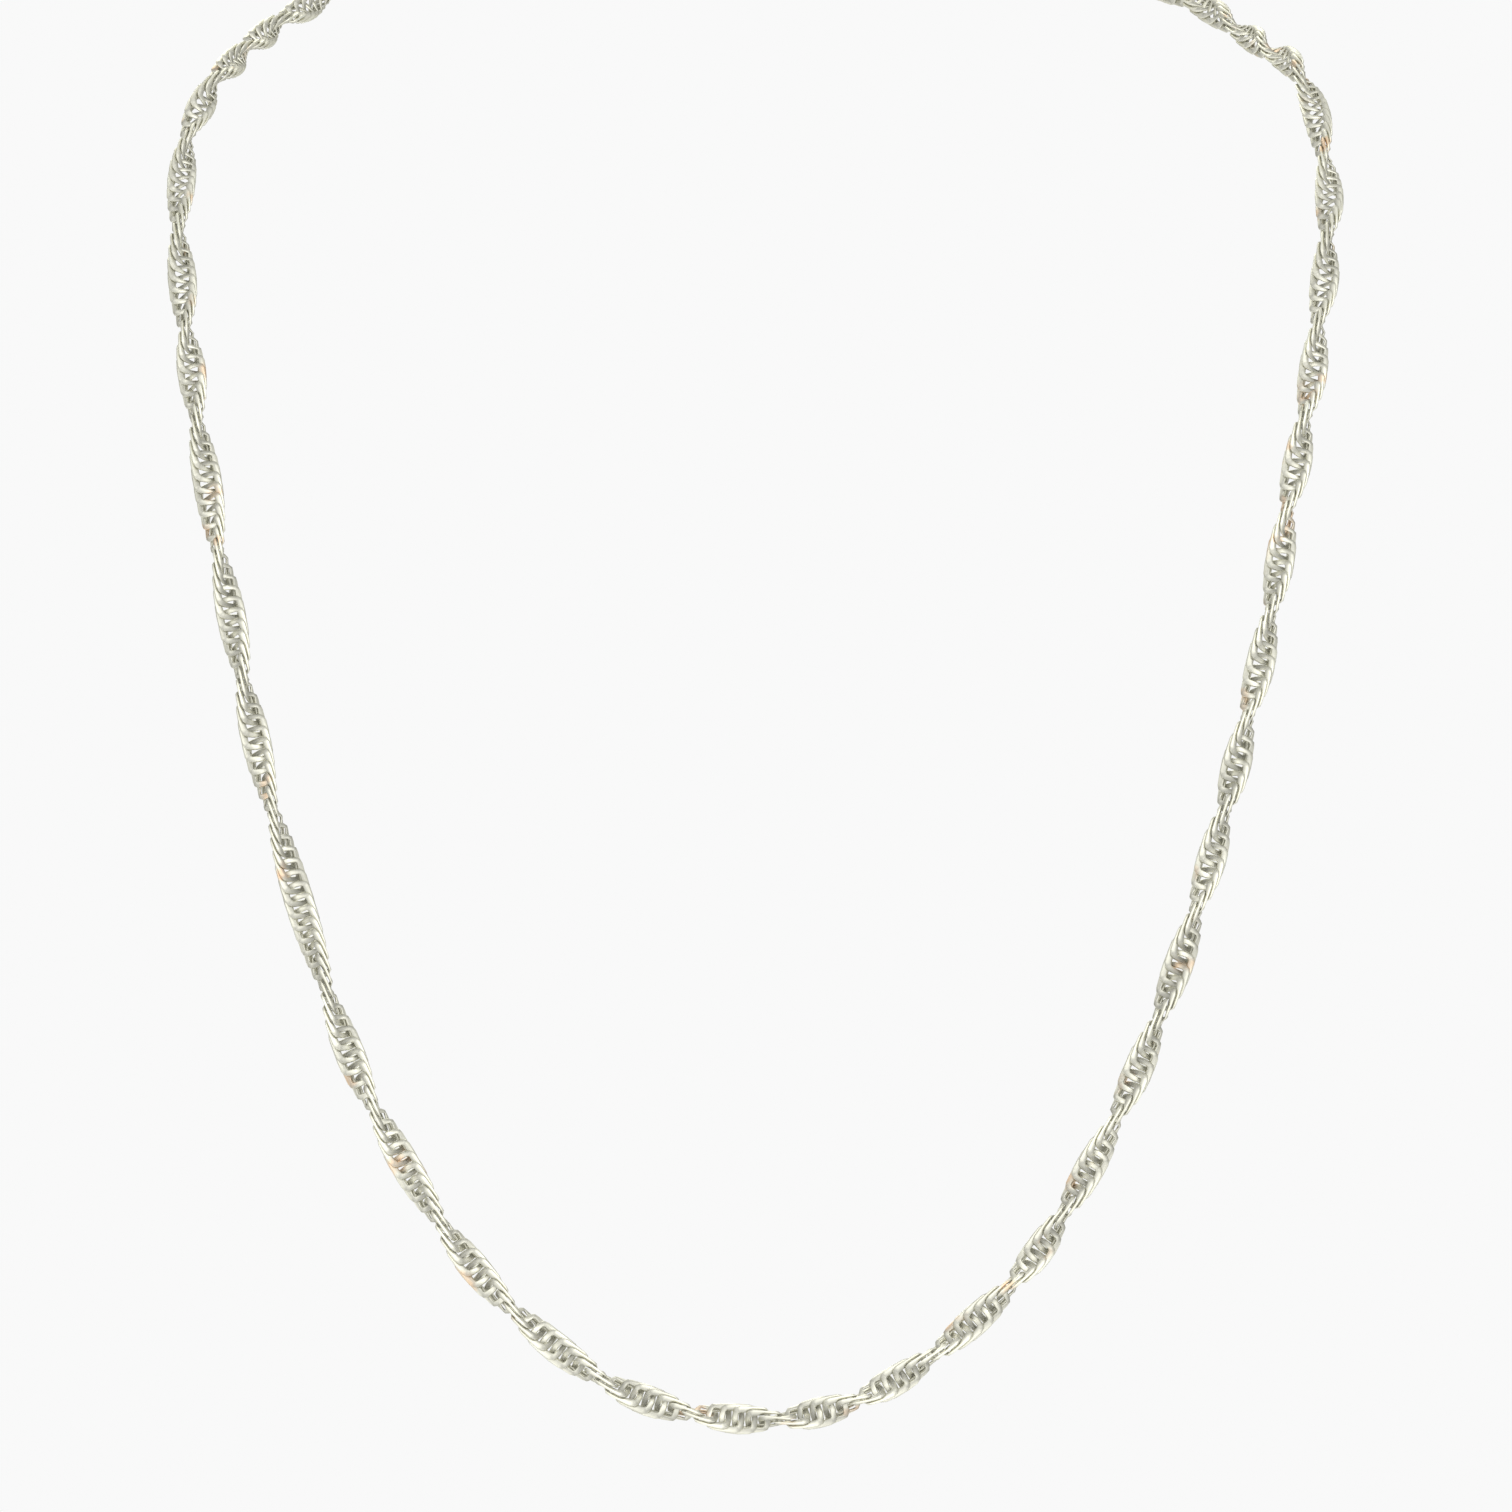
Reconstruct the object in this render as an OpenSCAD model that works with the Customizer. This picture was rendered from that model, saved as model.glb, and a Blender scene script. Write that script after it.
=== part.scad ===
// Necklace of fine twisted curb chain, in the form that it takes when worn.
// The origin is at the nape, in the middle of the clasp ring. The chain hangs down in front, at -Y.

/* [Loop] */
// Length round the whole loop, with the clasp
loop_len = 457; // [400:1:510]
// Width of the band of links
chain_w = 2.6; // [1.8:0.05:3]

/* [Clasp] */
// Radius of the clasp ring, to the middle of its wire
ring_r = 2.3; // [2:0.1:3]
// Thickness of the clasp ring's wire
ring_wire = 1.1; // [0.8:0.1:1.4]
// Thickness of the thumb catch
catch_d = 0.8; // [0.5:0.1:1]
// Radius of the fixed eye, to the middle of its wire
eye_r = 0.95; // [0.8:0.05:1.2]
// Thickness of the fixed eye's wire
eye_wire = 0.6; // [0.4:0.05:0.7]
// Depth to which the eye is soldered into the ring
eye_sink = 0.35; // [0.2:0.05:0.5]
// Room between the clasp and each end of the chain's tube
end_gap = 0.3; // [0.2:0.05:0.5]

/* [Hidden] */

silver = [0.84, 0.83, 0.77];

// Guide points of the front: down one side of the neck, round the chest and up the other side.
// The band of links shows its edge at each of them, half a turn after the one before.
front_points = [
    [-49, -47, -19.5], [-51.5, -51.5, -25], [-51.5, -60.5, -34], [-50, -67, -44],
    [-49, -71, -50.5], [-46.5, -77, -63.5], [-44, -81, -74.5], [-42, -84, -84],
    [-36, -88.5, -102.5], [-33, -90.5, -110], [-26.5, -92.5, -121], [-21, -94, -127.5],
    [-13, -95, -134], [-5.5, -95.5, -136.5], [2, -96, -137], [8.5, -95.5, -135.5],
    [14.5, -95, -132], [22, -93.5, -125.5], [25.5, -92.5, -120.5], [30.5, -91, -112],
    [34, -89, -104], [37.5, -87, -94.5], [40, -84.5, -86], [42, -82.5, -78.5],
    [44.5, -79, -69], [46, -75.5, -60], [48, -72, -52], [49.5, -67, -43.5],
    [51, -61, -35], [51.5, -54.5, -28], [50, -45, -18],
];

// The rest goes round the back of the neck in a plain arc that rises to the nape
neck_half_w = 48;
neck_side = [-46, -20];
nape_rise = [46.3, 20.13];
neck_step = 90 / 8;

function neck_point(turn) = [
    -neck_half_w * cos(turn),
    neck_side[0] + nape_rise[0] * sin(turn),
    neck_side[1] + nape_rise[1] * sin(turn),
];
left_neck = [for (turn = [90 : -neck_step : neck_step]) neck_point(turn)];
right_neck = [for (turn = [180 - neck_step : -neck_step : 90 + neck_step]) neck_point(turn)];
guide = concat(left_neck, front_points, right_neck);
guide_count = len(guide);

// Point of the closed cubic B-spline that the guide points steer; u counts the guide points
function guide_curve(u) =
    let (i = floor(u), t = u - i)
    (pow(1 - t, 3) * guide[(i + guide_count - 1) % guide_count]
        + (3 * pow(t, 3) - 6 * t * t + 4) * guide[i % guide_count]
        + (3 * t + 3 * t * t - 3 * pow(t, 3) + 1) * guide[(i + 1) % guide_count]
        + pow(t, 3) * guide[(i + 2) % guide_count]) / 6;

// The curve is measured in short steps, so that the loop can be brought to its real length
curve_steps = 10 * guide_count;
function step_u(k) = k * guide_count / curve_steps;
step_lengths = [for (k = [1 : curve_steps]) norm(guide_curve(step_u(k)) - guide_curve(step_u(k - 1)))];
distances = [for (k = 0, s = 0; k <= curve_steps; s = s + (k < curve_steps ? step_lengths[k] : 0), k = k + 1) s];
loop_size = loop_len / distances[curve_steps];
u_at_distance = [for (k = [0 : curve_steps]) [loop_size * distances[k], step_u(k)]];
function on_loop(s) = loop_size * guide_curve(lookup(s, u_at_distance));

// The chain is one tube, and its flats touch the edges of the band of links
tube_sides = 8;
tube_r = chain_w / 2 / cos(180 / tube_sides);
tube_rings = 80;
eye_x = ring_r + ring_wire / 2 - eye_sink + eye_wire / 2 + eye_r;
tube_start = ring_r + ring_wire / 2 + end_gap;
tube_end = loop_len - (eye_x + eye_r + eye_wire / 2 + end_gap);
tube_step = (tube_end - tube_start) / (tube_rings - 1);
look_ahead = 0.05;

function unit(v) = v / norm(v);

function tube_ring(s) =
    let (
        centre = on_loop(s),
        along = unit(on_loop(s + look_ahead) - on_loop(s - look_ahead)),
        side = unit(cross([0, 1, 0], along)),
        out = cross(along, side)
    )
    [
        for (j = [0 : tube_sides - 1])
            let (turn = (j + 0.5) * 360 / tube_sides)
            centre + tube_r * (cos(turn) * side + sin(turn) * out)
    ];

// The four corners of wall panel j between ring i and the next ring, as two triangles
function wall_panel(i, j) =
    let (
        a = i * tube_sides + j,
        b = i * tube_sides + (j + 1) % tube_sides
    )
    [[a, a + tube_sides, b], [b, a + tube_sides, b + tube_sides]];

module chain() {
    rings = [for (i = [0 : tube_rings - 1]) each tube_ring(tube_start + i * tube_step)];
    walls = [for (i = [0 : tube_rings - 2], j = [0 : tube_sides - 1]) each wall_panel(i, j)];
    start_cap = [for (j = [0 : tube_sides - 1]) j];
    end_cap = [for (j = [1 : tube_sides]) tube_rings * tube_sides - j];
    color(silver)
        polyhedron(points = rings, faces = concat([start_cap], walls, [end_cap]));
}

// A ring of round wire that stands in the XZ plane
module wire_ring(r, wire) {
    rotate([90, 0, 0])
        rotate_extrude($fn = 48)
            translate([r, 0])
                circle(d = wire, $fn = 24);
}

// One end link of the chain hangs on the ring's wire at -X, the other on the eye's wire at +X
module clasp() {
    catch_turn = 125;
    catch_x = ring_r + ring_wire / 2 + catch_d / 2;
    color(silver) {
        wire_ring(ring_r, ring_wire);
        translate([eye_x, 0, 0])
            wire_ring(eye_r, eye_wire);
        rotate([0, -catch_turn, 0])
            translate([ring_r, 0, 0])
                rotate([0, 90, 0])
                    cylinder(h = catch_x - ring_r, d = catch_d, $fn = 24);
        rotate([0, -catch_turn, 0])
            translate([catch_x, 0, 0])
                sphere(d = catch_d, $fn = 24);
    }
}

chain();
clasp();
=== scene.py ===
import math
import random

import bpy
import numpy as np
from mathutils import Matrix, Vector


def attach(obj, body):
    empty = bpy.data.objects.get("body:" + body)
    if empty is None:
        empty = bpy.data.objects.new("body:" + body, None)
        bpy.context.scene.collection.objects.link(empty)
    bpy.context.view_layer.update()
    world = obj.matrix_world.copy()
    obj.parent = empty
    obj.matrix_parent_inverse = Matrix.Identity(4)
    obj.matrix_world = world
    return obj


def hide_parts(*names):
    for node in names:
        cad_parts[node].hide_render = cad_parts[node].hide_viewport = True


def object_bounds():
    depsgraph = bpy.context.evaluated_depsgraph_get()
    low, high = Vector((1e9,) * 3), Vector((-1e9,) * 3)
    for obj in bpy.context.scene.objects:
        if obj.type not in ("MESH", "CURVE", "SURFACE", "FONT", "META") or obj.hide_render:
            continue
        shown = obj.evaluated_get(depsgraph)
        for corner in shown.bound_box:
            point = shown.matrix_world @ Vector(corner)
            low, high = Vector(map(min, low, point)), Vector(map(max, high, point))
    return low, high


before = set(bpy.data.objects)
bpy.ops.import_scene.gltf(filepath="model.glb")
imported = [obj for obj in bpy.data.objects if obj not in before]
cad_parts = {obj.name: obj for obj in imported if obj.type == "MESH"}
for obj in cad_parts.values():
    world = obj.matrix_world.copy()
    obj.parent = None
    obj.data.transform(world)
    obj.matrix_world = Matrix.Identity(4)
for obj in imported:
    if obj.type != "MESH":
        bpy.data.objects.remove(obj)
cad_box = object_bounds()

# Camera
# It stands level in front of the chest, far enough away for a portrait lens, and the loop fills
# the square picture. The way round the neck leaves the picture at the top.
mm = 0.001
camera_data = bpy.data.cameras.new("camera")
camera_data.sensor_width = 36
camera_data.lens = 163.3
camera = bpy.data.objects.new("camera", camera_data)
camera.location = Vector((0, -675.2, -81.8)) * mm
camera.rotation_euler = (math.radians(90), 0, 0)
bpy.context.scene.collection.objects.link(camera)
bpy.context.scene.camera = camera


# Chain
# A fine silver curb chain. Each link is an oval of flattened wire, soldered shut through the two
# links before it and bent like a saddle, and then the whole band of links is twisted round its length.
loop_length = 457 * mm
link_pitch = 1.11 * mm
link_half_length = 1.26 * link_pitch
link_half_width = 0.875 * link_pitch
link_squareness = 0.55
link_saddle = 0.4 * link_pitch
link_tilt = 0.05 * link_pitch
link_segments = 16
side_wire_width, side_wire_height = 0.58 * link_pitch, 0.2 * link_pitch
end_wire_width, end_wire_height = 0.465 * link_pitch, 0.185 * link_pitch
wire_face_share = 0.6
wire_sides = 6

# Guide points of the front, in mm: down one side of the neck, round the chest and up the other
# side. The band of links shows its edge near each of them, half a turn after the one before.
front_points = [
    (-49, -47, -19.5), (-51.5, -51.5, -25), (-51.5, -60.5, -34), (-50, -67, -44),
    (-49, -71, -50.5), (-46.5, -77, -63.5), (-44, -81, -74.5), (-42, -84, -84),
    (-36, -88.5, -102.5), (-33, -90.5, -110), (-26.5, -92.5, -121), (-21, -94, -127.5),
    (-13, -95, -134), (-5.5, -95.5, -136.5), (2, -96, -137), (8.5, -95.5, -135.5),
    (14.5, -95, -132), (22, -93.5, -125.5), (25.5, -92.5, -120.5), (30.5, -91, -112),
    (34, -89, -104), (37.5, -87, -94.5), (40, -84.5, -86), (42, -82.5, -78.5),
    (44.5, -79, -69), (46, -75.5, -60), (48, -72, -52), (49.5, -67, -43.5),
    (51, -61, -35), (51.5, -54.5, -28), (50, -45, -18),
]

# The rest goes round the back of the neck in a plain arc that rises to the nape
neck_half_width = 48
neck_side = (-46, -20)
nape_rise = (46.3, 20.13)
neck_steps = 8


def neck_point(step):
    """Guide point of the arc behind the neck, in mm; step 0 is at -X and neck_steps at the nape."""
    turn = math.radians(90 * step / neck_steps)
    return (
        -neck_half_width * math.cos(turn),
        neck_side[0] + nape_rise[0] * math.sin(turn),
        neck_side[1] + nape_rise[1] * math.sin(turn),
    )


left_neck = [neck_point(step) for step in range(neck_steps, 0, -1)]
right_neck = [neck_point(step) for step in range(2 * neck_steps - 1, neck_steps, -1)]
guide = np.array(left_neck + front_points + right_neck) * mm


def guide_curve(u):
    """Points of the closed cubic B-spline that the guide points steer; u counts the guide points."""
    i = np.floor(u).astype(int)
    t = (u - i)[:, None]
    weights = (
        (1 - t) ** 3,
        3 * t ** 3 - 6 * t ** 2 + 4,
        3 * t + 3 * t ** 2 - 3 * t ** 3 + 1,
        t ** 3,
    )
    return sum(weight * guide[(i + k - 1) % len(guide)] for k, weight in enumerate(weights)) / 6


# The curve is measured in short steps, so that the loop can be brought to its real length
steps_per_guide_point = 10
curve_u = np.linspace(0, len(guide), steps_per_guide_point * len(guide) + 1)
step_lengths = np.linalg.norm(np.diff(guide_curve(curve_u), axis=0), axis=1)
distances = np.append(0, np.cumsum(step_lengths))
loop_size = loop_length / distances[-1]
distances = distances * loop_size


def on_loop(places):
    """Points of the loop, from their distances along it."""
    return loop_size * guide_curve(np.interp(places, distances, curve_u))


# The end links hang on the wire of the clasp ring at one side and of its eye at the other. They
# are larger and bent more, and the next link at each side stays just clear of the clasp.
ring_wire_edges = (1.75 * mm, 2.85 * mm)
eye_wire_edges = (4.4 * mm, 5 * mm)
ring_play = 0.015 * mm
eye_play = 0.05 * mm
first_link_size = 1.21
last_link_size = 1.04
end_link_bend = 3
inner_half_length = link_half_length - end_wire_width / 2
outer_half_length = link_half_length + end_wire_width / 2
first_place = ring_wire_edges[0] + inner_half_length * first_link_size - ring_play
second_place = ring_wire_edges[1] + outer_half_length + ring_play
next_to_last_place = loop_length - eye_wire_edges[1] - outer_half_length - eye_play
last_place = loop_length - eye_wire_edges[0] - inner_half_length * last_link_size + eye_play
even_links = 1 + round((next_to_last_place - second_place) / link_pitch)
link_places = [first_place, *np.linspace(second_place, next_to_last_place, even_links), last_place]
end_link_sizes = {0: first_link_size, len(link_places) - 1: last_link_size}

# The band turns its edge to the front at half turns, which fall a little past the guide points in
# front, and its faces stay to the front a little longer than its edges do. Behind the neck the
# turns are spread evenly up to the end links.
front_lag = 0.05
flat_rest = 0.1
first_u, last_u = np.interp((first_place, last_place), distances, curve_u)
turn_marks = (first_u, neck_steps, len(guide) - neck_steps, last_u)
turn_counts = (0, neck_steps - front_lag, len(guide) - neck_steps - front_lag, len(guide))


def half_turns_at(places):
    """Half turns of the band up to the given distances along the loop."""
    half_turns = np.interp(np.interp(places, distances, curve_u), turn_marks, turn_counts)
    return half_turns + flat_rest * np.sin(math.tau * half_turns) / math.tau


def in_band(link_points, distance):
    """Points of a flat link, brought to its place in the loop and twisted and bent with the band."""
    look_ahead = 0.05 * mm
    places = distance + link_points[:, 0]
    along = on_loop(places + look_ahead) - on_loop(places - look_ahead)
    along /= np.linalg.norm(along, axis=1, keepdims=True)
    sideways = np.array((0, 1, 0)) - along * along[:, 1:2]
    sideways /= np.linalg.norm(sideways, axis=1, keepdims=True)
    outwards = np.cross(along, sideways)
    turn = math.pi * half_turns_at(places)[:, None]
    across = np.cos(turn) * sideways + np.sin(turn) * outwards
    up = np.cos(turn) * outwards - np.sin(turn) * sideways
    return on_loop(places) + link_points[:, 1:2] * across + link_points[:, 2:3] * up


def only(piece):
    """Leaves one piece selected and active."""
    bpy.ops.object.select_all(action="DESELECT")
    piece.select_set(True)
    bpy.context.view_layer.objects.active = piece


def select_points(piece, chosen):
    """Selects the piece's points for which chosen(point) is true, and leaves edit mode open."""
    only(piece)
    bpy.ops.object.mode_set(mode="EDIT")
    bpy.ops.mesh.select_mode(type="VERT")
    bpy.ops.mesh.select_all(action="DESELECT")
    bpy.ops.object.mode_set(mode="OBJECT")
    for point in piece.data.vertices:
        point.select = chosen(point)
    bpy.ops.object.mode_set(mode="EDIT")


bpy.ops.object.select_all(action="DESELECT")
bpy.ops.mesh.primitive_torus_add(
    major_segments=link_segments,
    minor_segments=wire_sides,
    major_radius=link_half_width,
    minor_radius=side_wire_width / 2,
)
link = bpy.context.object
link.name = "link"

# The wire's two faces are rolled broad, and it is pressed flat, a little flatter at the link's ends.
# The round ring is drawn out to an oval with straight sides, its corners are bent up and down in
# turn, and one end is lifted over the links that pass through it.
round_places = [point.co.copy() for point in link.data.vertices]
round_height = side_wire_width * math.sin(math.tau / wire_sides)
near = 0.02 * mm
for edge in (1, -1):
    face_edge = link_half_width + edge * side_wire_width / 4
    broad_edge = link_half_width + edge * wire_face_share * side_wire_width / 2
    select_points(link, lambda point: abs(point.co.xy.length - face_edge) < near < abs(point.co.z))
    broader = broad_edge / face_edge
    bpy.ops.transform.resize(value=(broader, broader, 1), center_override=(0, 0, 0))
    bpy.ops.object.mode_set(mode="OBJECT")
for segment in range(link_segments):
    turn = math.tau * segment / link_segments
    along, across = math.cos(turn), math.sin(turn)
    middle = Vector((along, across, 0)) * link_half_width
    oval_middle = (
        link_half_length * math.copysign(abs(along) ** link_squareness, along),
        link_half_width * math.copysign(abs(across) ** link_squareness, across),
        link_tilt * along - link_saddle * math.sin(2 * turn),
    )
    width = side_wire_width * across ** 2 + end_wire_width * along ** 2
    height = side_wire_height * across ** 2 + end_wire_height * along ** 2
    select_points(
        link,
        lambda point: (round_places[point.index] - middle).length < side_wire_width / 2 + near,
    )
    bpy.ops.transform.resize(
        value=(width / side_wire_width, width / side_wire_width, height / round_height),
        center_override=middle,
    )
    bpy.ops.transform.translate(value=Vector(oval_middle) - middle)
    bpy.ops.object.mode_set(mode="OBJECT")
bpy.ops.object.shade_smooth()

# Each point of the link keeps how much painted shade it gets, which also makes its silver rougher:
# none at the band's two edges and on the ends that stand out of its faces, some on the sides, and
# most down in the openings, where the deeper wires are painted dark to stand in for the shade there.
# Depths are shares of the band's thickness, places are shares of its half width, and a surface
# counts as one that looks out of the band when its normal leans to the face by face_slope.
face_height = max(point.co.z for point in link.data.vertices)
bright_depth, dark_depth = 0.41, 0.47
bright_place, dark_place = 0.6, 0.42
side_shade = 0.65
flank_shade = 0.05
face_slope = 0.4


def share_of_way(value, start, end):
    """How far a value has come from start to end, from 0 to 1."""
    return max(0, min(1, (value - start) / (end - start)))


shade_and_roughness = link.data.attributes.new("link_shade_and_roughness", "FLOAT", "POINT")
for point in link.data.vertices:
    looks_out = share_of_way(abs(point.normal.z), 0, face_slope)
    depth = (1 - math.copysign(1, point.normal.z) * point.co.z / face_height) / 2
    dark = share_of_way(depth, bright_depth, dark_depth)
    from_middle = abs(point.co.y) / link_half_width
    inside = share_of_way(from_middle, bright_place, dark_place)
    in_opening = flank_shade + (dark - flank_shade) * looks_out
    at_side = side_shade * looks_out if from_middle < 1 else 0
    shade_and_roughness.data[point.index].value = inside * in_opening + (1 - inside) * at_side

# The link is copied along the loop, and every copy is brought to its place in the twisted band and
# given a tone of its own
tone_seed = 11
tones = random.Random(tone_seed)
copies = []
for number, distance in enumerate(link_places):
    copy = link.copy()
    copy.data = link.data.copy()
    if number in end_link_sizes:
        size = end_link_sizes[number]
        bend = 1 + end_link_bend * (size - 1)
        copy.data.transform(Matrix.Diagonal((size, size, bend, 1)))
    points = np.array([point.co[:] for point in copy.data.vertices])
    copy.data.vertices.foreach_set("co", in_band(points, distance).astype(np.float32).ravel())
    copy.data.update()
    link_tone = copy.data.attributes.new("link_tone", "FLOAT", "POINT")
    link_tone.data.foreach_set("value", [tones.random()] * len(copy.data.vertices))
    bpy.context.scene.collection.objects.link(copy)
    copies.append(copy)
bpy.data.objects.remove(link)
only(copies[0])
for copy in copies:
    copy.select_set(True)
bpy.ops.object.join()
chain = copies[0]
chain.name = "chain_links"
chain.data.name = "chain_links"


def add(nodes, kind, **sockets):
    """Adds a node and sets the inputs named, with an underscore for each space in their names."""
    node = nodes.new(kind)
    for name, value in sockets.items():
        node.inputs[name.replace("_", " ")].default_value = value
    return node


# Silver as a node group: its own colour with a random tone, a darker colour mixed in as painted shade
# on the chain and as tarnish clouds on the clasp, rougher there too, fine scratches, and small painted
# warm glints.
silver_wear_and_painted_light = bpy.data.node_groups.new("silver_wear_and_painted_light", "ShaderNodeTree")
for name, kind in (
    ("Silver", "NodeSocketColor"),
    ("Painted Warm Glint", "NodeSocketColor"),
    ("Shade And Tarnish Color", "NodeSocketColor"),
    ("Tone", "NodeSocketFloat"),
    ("Depth", "NodeSocketFloat"),
    ("Scratch Scale", "NodeSocketFloat"),
    ("Scratch Height", "NodeSocketFloat"),
):
    silver_wear_and_painted_light.interface.new_socket(name=name, in_out="INPUT", socket_type=kind)
for name, kind in (
    ("Color", "NodeSocketColor"),
    ("Roughness", "NodeSocketFloat"),
    ("Normal", "NodeSocketVector"),
):
    silver_wear_and_painted_light.interface.new_socket(name=name, in_out="OUTPUT", socket_type=kind)
nodes, links = silver_wear_and_painted_light.nodes, silver_wear_and_painted_light.links
inputs = nodes.new("NodeGroupInput")
outputs = nodes.new("NodeGroupOutput")
place = nodes.new("ShaderNodeTexCoord")

# Painted warm glints: small scattered patches take a warmer colour that stands in for warm reflections
# on the silver.
warm_glint_noise = add(nodes, "ShaderNodeTexNoise", Scale=300.0, Detail=2.0, Roughness=0.5)
links.new(place.outputs["Object"], warm_glint_noise.inputs["Vector"])
warm_glint_mask = add(nodes, "ShaderNodeMapRange", From_Min=0.62, From_Max=0.7)
links.new(warm_glint_noise.outputs["Fac"], warm_glint_mask.inputs["Value"])

warm_glint_mix = nodes.new("ShaderNodeMix")
warm_glint_mix.data_type = "RGBA"
links.new(warm_glint_mask.outputs["Result"], warm_glint_mix.inputs["Factor"])
links.new(inputs.outputs["Silver"], warm_glint_mix.inputs["A"])
links.new(inputs.outputs["Painted Warm Glint"], warm_glint_mix.inputs["B"])

tone_range = add(nodes, "ShaderNodeMapRange", To_Min=0.86, To_Max=1.06)
links.new(inputs.outputs["Tone"], tone_range.inputs["Value"])
toned = nodes.new("ShaderNodeVectorMath")
toned.operation = "SCALE"
links.new(warm_glint_mix.outputs["Result"], toned.inputs["Vector"])
links.new(tone_range.outputs["Result"], toned.inputs["Scale"])

# Painted shade: the darker colour is mixed in by the chain's shade attribute; on the clasp the same
# mix lays its tarnish clouds.
shade_and_tarnish_mix = nodes.new("ShaderNodeMix")
shade_and_tarnish_mix.data_type = "RGBA"
links.new(inputs.outputs["Depth"], shade_and_tarnish_mix.inputs["Factor"])
links.new(toned.outputs["Vector"], shade_and_tarnish_mix.inputs["A"])
links.new(inputs.outputs["Shade And Tarnish Color"], shade_and_tarnish_mix.inputs["B"])
links.new(shade_and_tarnish_mix.outputs["Result"], outputs.inputs["Color"])

scratches = add(nodes, "ShaderNodeTexNoise", Detail=3.0, Roughness=0.6)
links.new(place.outputs["Object"], scratches.inputs["Vector"])
links.new(inputs.outputs["Scratch Scale"], scratches.inputs["Scale"])
scratch_bump = add(nodes, "ShaderNodeBump", Strength=0.5)
links.new(scratches.outputs["Fac"], scratch_bump.inputs["Height"])
links.new(inputs.outputs["Scratch Height"], scratch_bump.inputs["Distance"])
links.new(scratch_bump.outputs["Normal"], outputs.inputs["Normal"])

dulling = add(nodes, "ShaderNodeMapRange", To_Min=0.38, To_Max=0.5)
links.new(scratches.outputs["Fac"], dulling.inputs["Value"])
dull_hollows = nodes.new("ShaderNodeMath")
dull_hollows.operation = "MULTIPLY_ADD"
dull_hollows.inputs[1].default_value = 0.2
links.new(inputs.outputs["Depth"], dull_hollows.inputs[0])
links.new(dulling.outputs["Result"], dull_hollows.inputs[2])
links.new(dull_hollows.outputs["Value"], outputs.inputs["Roughness"])


def silver_finish(name, silver, painted_warm_glint, shade_and_tarnish, scratch_scale, scratch_height):
    """A metal of scratched silver with painted warm glints; its Tone input, and the input that takes
    the chain's painted shade and the clasp's tarnish, are linked or set by the piece.
    """
    finish = bpy.data.materials.new(name)
    finish.use_nodes = True
    tree = finish.node_tree
    shader = tree.nodes["Principled BSDF"]
    shader.inputs["Metallic"].default_value = 1.0
    shader.inputs["Specular Tint"].default_value = (0.5, 0.5, 0.42, 1)
    wear_and_painted_light = tree.nodes.new("ShaderNodeGroup")
    wear_and_painted_light.node_tree = silver_wear_and_painted_light
    wear_and_painted_light.inputs["Silver"].default_value = silver
    wear_and_painted_light.inputs["Painted Warm Glint"].default_value = painted_warm_glint
    wear_and_painted_light.inputs["Shade And Tarnish Color"].default_value = shade_and_tarnish
    wear_and_painted_light.inputs["Scratch Scale"].default_value = scratch_scale
    wear_and_painted_light.inputs["Scratch Height"].default_value = scratch_height
    for output, socket in (("Color", "Base Color"), ("Roughness", "Roughness"), ("Normal", "Normal")):
        tree.links.new(wear_and_painted_light.outputs[output], shader.inputs[socket])
    return finish, wear_and_painted_light


# The chain's silver, with painted shade down in its openings and on its sides, and painted warm
# glints.
chain_finish, chain_wear_and_painted_light = silver_finish(
    "chain_silver_painted_shade_and_glints",
    silver=(0.985, 0.972, 0.84, 1),
    painted_warm_glint=(1, 0.78, 0.56, 1),
    shade_and_tarnish=(0.38, 0.377, 0.34, 1),
    scratch_scale=2600.0,
    scratch_height=0.00001,
)
tree = chain_finish.node_tree
# Each link's random tone and its painted shade are read from its points.
for attribute_name, socket in (("link_tone", "Tone"), ("link_shade_and_roughness", "Depth")):
    attribute = tree.nodes.new("ShaderNodeAttribute")
    attribute.attribute_name = attribute_name
    tree.links.new(attribute.outputs["Fac"], chain_wear_and_painted_light.inputs[socket])
chain.data.materials.clear()
chain.data.materials.append(chain_finish)
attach(chain, "root")
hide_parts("chain")


# Clasp
# A small ring of silver wire with a thumb catch and a soldered eye. It is out of sight at the
# nape, and the end links of the chain hang on its ring and on its eye.
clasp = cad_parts["clasp"]
# The clasp's silver has random tarnish clouds and the same small painted warm glints.
clasp_finish, clasp_wear_and_painted_glints = silver_finish(
    "clasp_silver_tarnish_painted_glints",
    silver=(0.8, 0.785, 0.7, 1),
    painted_warm_glint=(0.8, 0.68, 0.52, 1),
    shade_and_tarnish=(0.3, 0.29, 0.25, 1),
    scratch_scale=1800.0,
    scratch_height=0.00002,
)
clasp_wear_and_painted_glints.inputs["Tone"].default_value = 0.6
tree = clasp_finish.node_tree
clouds = add(tree.nodes, "ShaderNodeTexNoise", Scale=700.0, Detail=2.0)
clasp_place = tree.nodes.new("ShaderNodeTexCoord")
tree.links.new(clasp_place.outputs["Object"], clouds.inputs["Vector"])
tarnish = add(tree.nodes, "ShaderNodeMapRange", From_Min=0.5, From_Max=0.8, To_Max=0.5)
tree.links.new(clouds.outputs["Fac"], tarnish.inputs["Value"])
tree.links.new(tarnish.outputs["Result"], clasp_wear_and_painted_glints.inputs["Depth"])
for slot in clasp.material_slots:
    slot.material = clasp_finish


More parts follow.
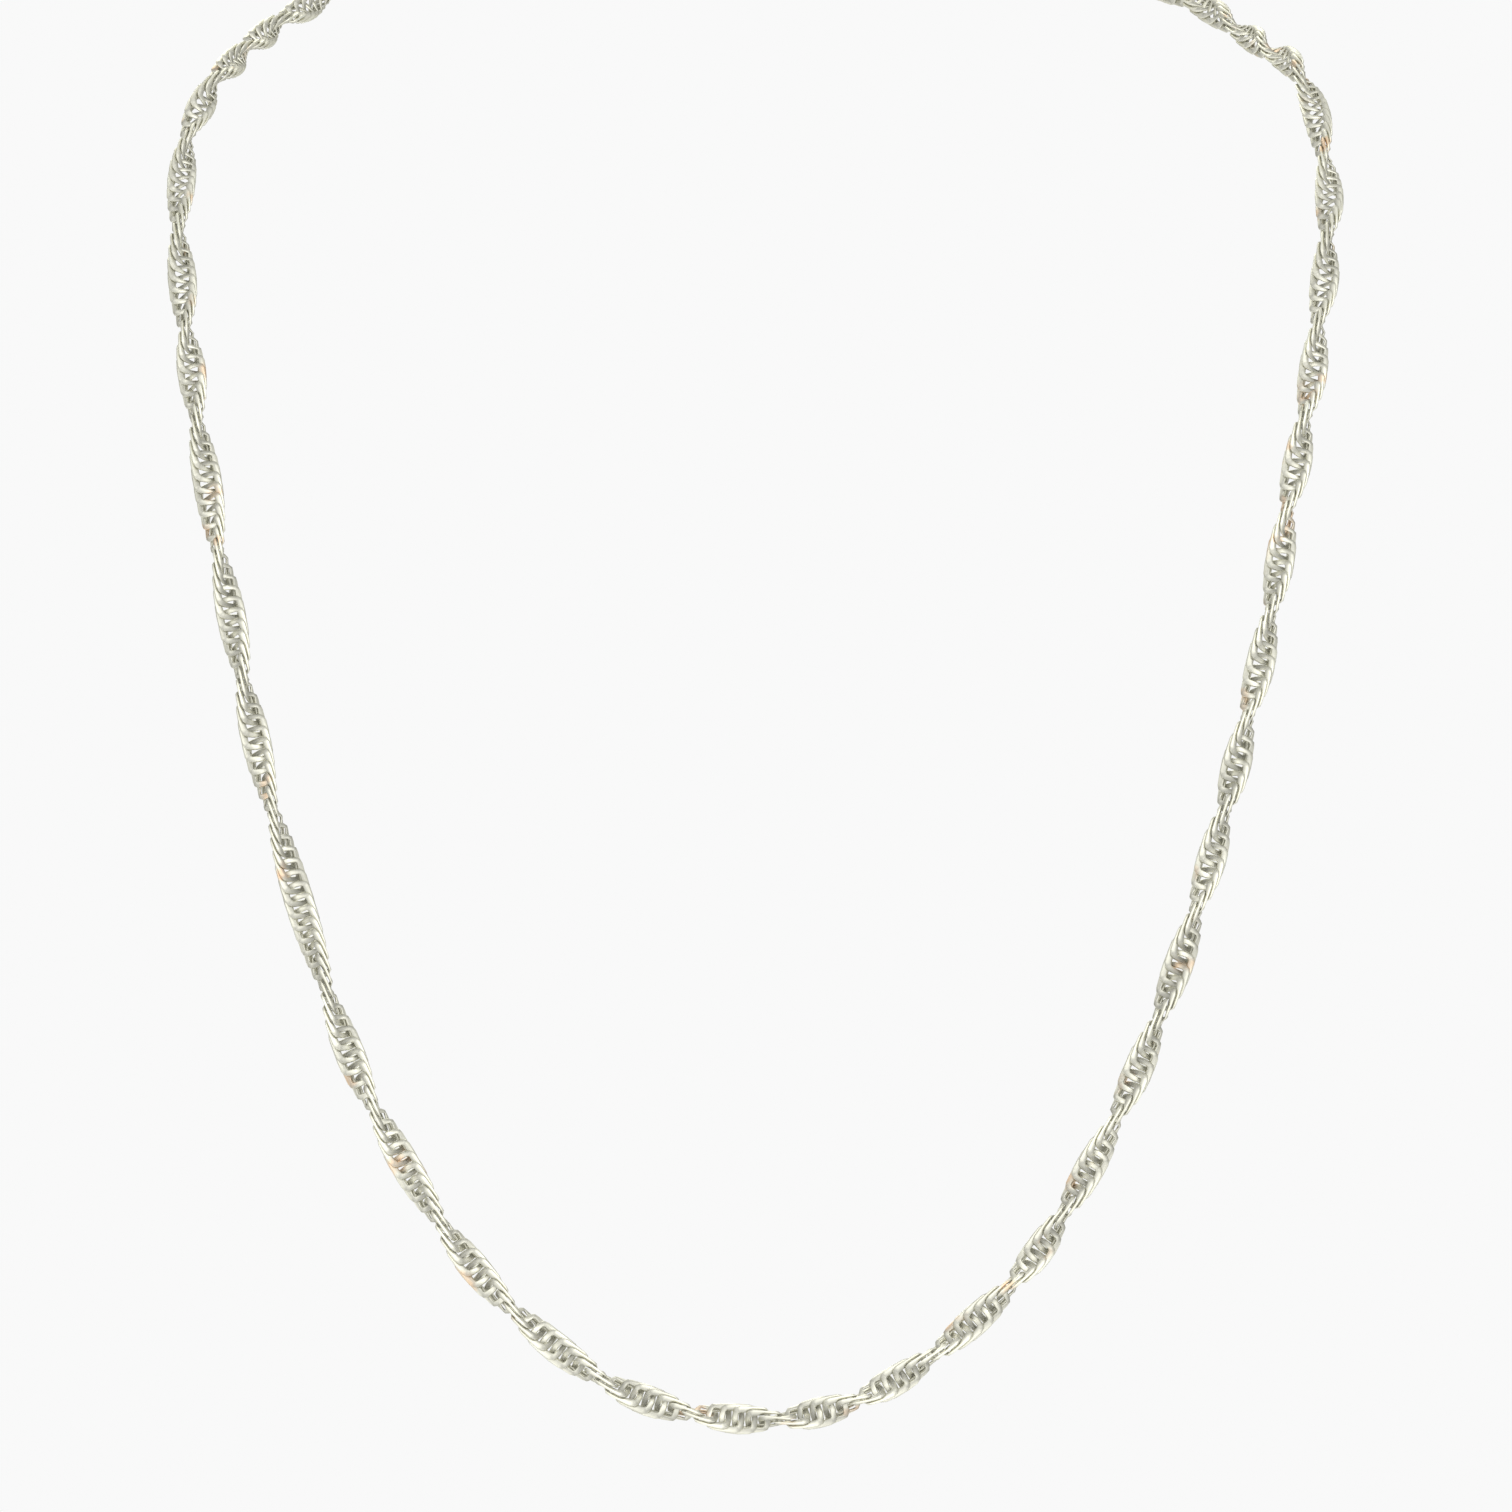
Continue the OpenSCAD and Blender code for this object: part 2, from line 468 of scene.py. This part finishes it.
# Floor, light and backdrop
# A pale round floor under the necklace, which fades into the white room before its rim.
floor_drop = 0.26
floor_radius = 0.9
fade_start, fade_end = 0.3, 0.85
bpy.ops.object.select_all(action="DESELECT")
bpy.ops.mesh.primitive_circle_add(
    vertices=64,
    radius=floor_radius,
    fill_type="NGON",
    location=(0, (cad_box[0].y + cad_box[1].y) / 2, -floor_drop),
)
floor = bpy.context.object
floor.name = "floor"
floor_finish = bpy.data.materials.new("pale_floor")
floor_finish.use_nodes = True
tree = floor_finish.node_tree
floor_shader = tree.nodes["Principled BSDF"]
floor_shader.inputs["Base Color"].default_value = (0.93, 0.93, 0.935, 1)
floor_shader.inputs["Roughness"].default_value = 0.9
floor_place = tree.nodes.new("ShaderNodeTexCoord")
way_out = tree.nodes.new("ShaderNodeVectorMath")
way_out.operation = "LENGTH"
tree.links.new(floor_place.outputs["Object"], way_out.inputs[0])
fade = add(
    tree.nodes,
    "ShaderNodeMapRange",
    From_Min=fade_start,
    From_Max=fade_end,
    To_Min=1.0,
    To_Max=0.0,
)
fade.interpolation_type = "SMOOTHSTEP"
tree.links.new(way_out.outputs["Value"], fade.inputs["Value"])
tree.links.new(fade.outputs["Result"], floor_shader.inputs["Alpha"])
floor.data.materials.append(floor_finish)

room = bpy.data.worlds.new("white_room")
bpy.context.scene.world = room
room.use_nodes = True
tree = room.node_tree
room_light = tree.nodes["Background"]
room_light.inputs["Color"].default_value = (1, 1, 1, 1)
room_light.inputs["Strength"].default_value = 0.65
# The room looks a little greyer than the light that it gives
seen_room = add(tree.nodes, "ShaderNodeBackground", Color=(0.947, 0.947, 0.947, 1), Strength=1.0)
seen = tree.nodes.new("ShaderNodeLightPath")
choose = tree.nodes.new("ShaderNodeMixShader")
tree.links.new(seen.outputs["Is Camera Ray"], choose.inputs["Fac"])
tree.links.new(room_light.outputs["Background"], choose.inputs[1])
tree.links.new(seen_room.outputs["Background"], choose.inputs[2])
tree.links.new(choose.outputs["Shader"], tree.nodes["World Output"].inputs["Surface"])

necklace_middle = Vector((0, -70, -80)) * mm


def soft_light(name, place, size, power):
    """A square studio light that faces the necklace."""
    lamp = bpy.data.lights.new(name, "AREA")
    lamp.size = size
    lamp.energy = power
    stand = bpy.data.objects.new(name, lamp)
    stand.location = place
    stand.rotation_euler = (necklace_middle - stand.location).to_track_quat("-Z", "Y").to_euler()
    bpy.context.scene.collection.objects.link(stand)


soft_light("front_light", (0.2, -1.7, 0.5), 3.2, 23)
soft_light("key_light", (0.6, -0.9, 1.0), 0.5, 2)
soft_light("fill_light", (-0.9, -0.6, 0.2), 0.5, 1)
soft_light("back_light", (-0.3, 1.2, 0.9), 1.2, 10)

bpy.context.scene.view_settings.view_transform = "Standard"
